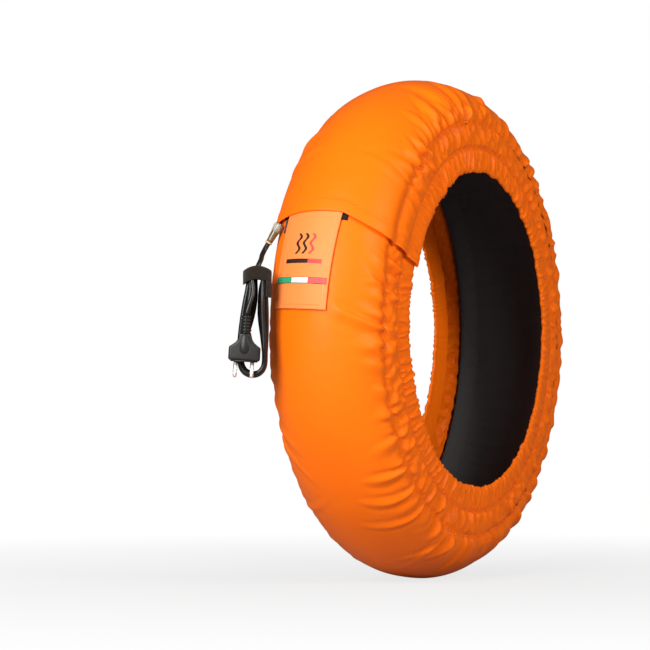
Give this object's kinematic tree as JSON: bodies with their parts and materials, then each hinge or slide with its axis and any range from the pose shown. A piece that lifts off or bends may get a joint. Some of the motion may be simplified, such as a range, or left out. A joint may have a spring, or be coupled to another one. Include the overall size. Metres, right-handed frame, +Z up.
{
  "type": "motorcycle tire warmer",
  "caption": "Heated cloth cover closed into a ring round a motorcycle tyre, with gathered elastic skirts, a closure flap and tab, and a plugged supply cord.",
  "frame": {"origin": "centre of the ring, on the tyre's axis and in its middle plane", "axes": "+Y along the tyre's axis towards the side that the cord hangs on, +Z up, closure flap on the -X side"},
  "size_m": [0.6913, 0.1845, 0.6399],
  "materials": {
    "orange_nylon": "coated nylon with a soft sheen",
    "elastic": "woven elastic",
    "wadding": "felted wadding",
    "heater": "silicone jacket",
    "liner": "woven heat-proof cloth",
    "hook_and_loop": "hook-and-loop pile",
    "ribbon": "woven satin stripes",
    "cord_jacket": "smooth jacket",
    "bimetal_case": "bare",
    "boot": "heat-shrunk sleeve",
    "clear_vinyl": "clear",
    "plug_plastic": "moulded",
    "pin_metal": "nickel plate"
  },
  "bodies": {
    "root": {"tread_panel": "orange_nylon", "side_skirt_left": "orange_nylon", "side_skirt_right": "orange_nylon", "hem_elastic_left": "elastic", "hem_elastic_right": "elastic", "insulation_pad": "wadding", "heating_element": "heater", "inner_liner": "liner", "loop_base": "hook_and_loop", "flap_hook_strip": "hook_and_loop", "closure_tab": "orange_nylon", "tab_hook": "hook_and_loop", "woven_ribbon": "ribbon", "supply_lead": "cord_jacket", "thermostat": "bimetal_case", "cable_boot": "boot", "clear_sleeve": "clear_vinyl", "boot_ring": "boot", "cord_lead": "cord_jacket", "cord_hank": "cord_jacket", "cord_tie": "hook_and_loop", "cord_tail": "cord_jacket", "plug_relief": "plug_plastic", "plug_body": "plug_plastic", "plug_pin_left": "pin_metal", "plug_pin_right": "pin_metal"}
  },
  "joints": []
}
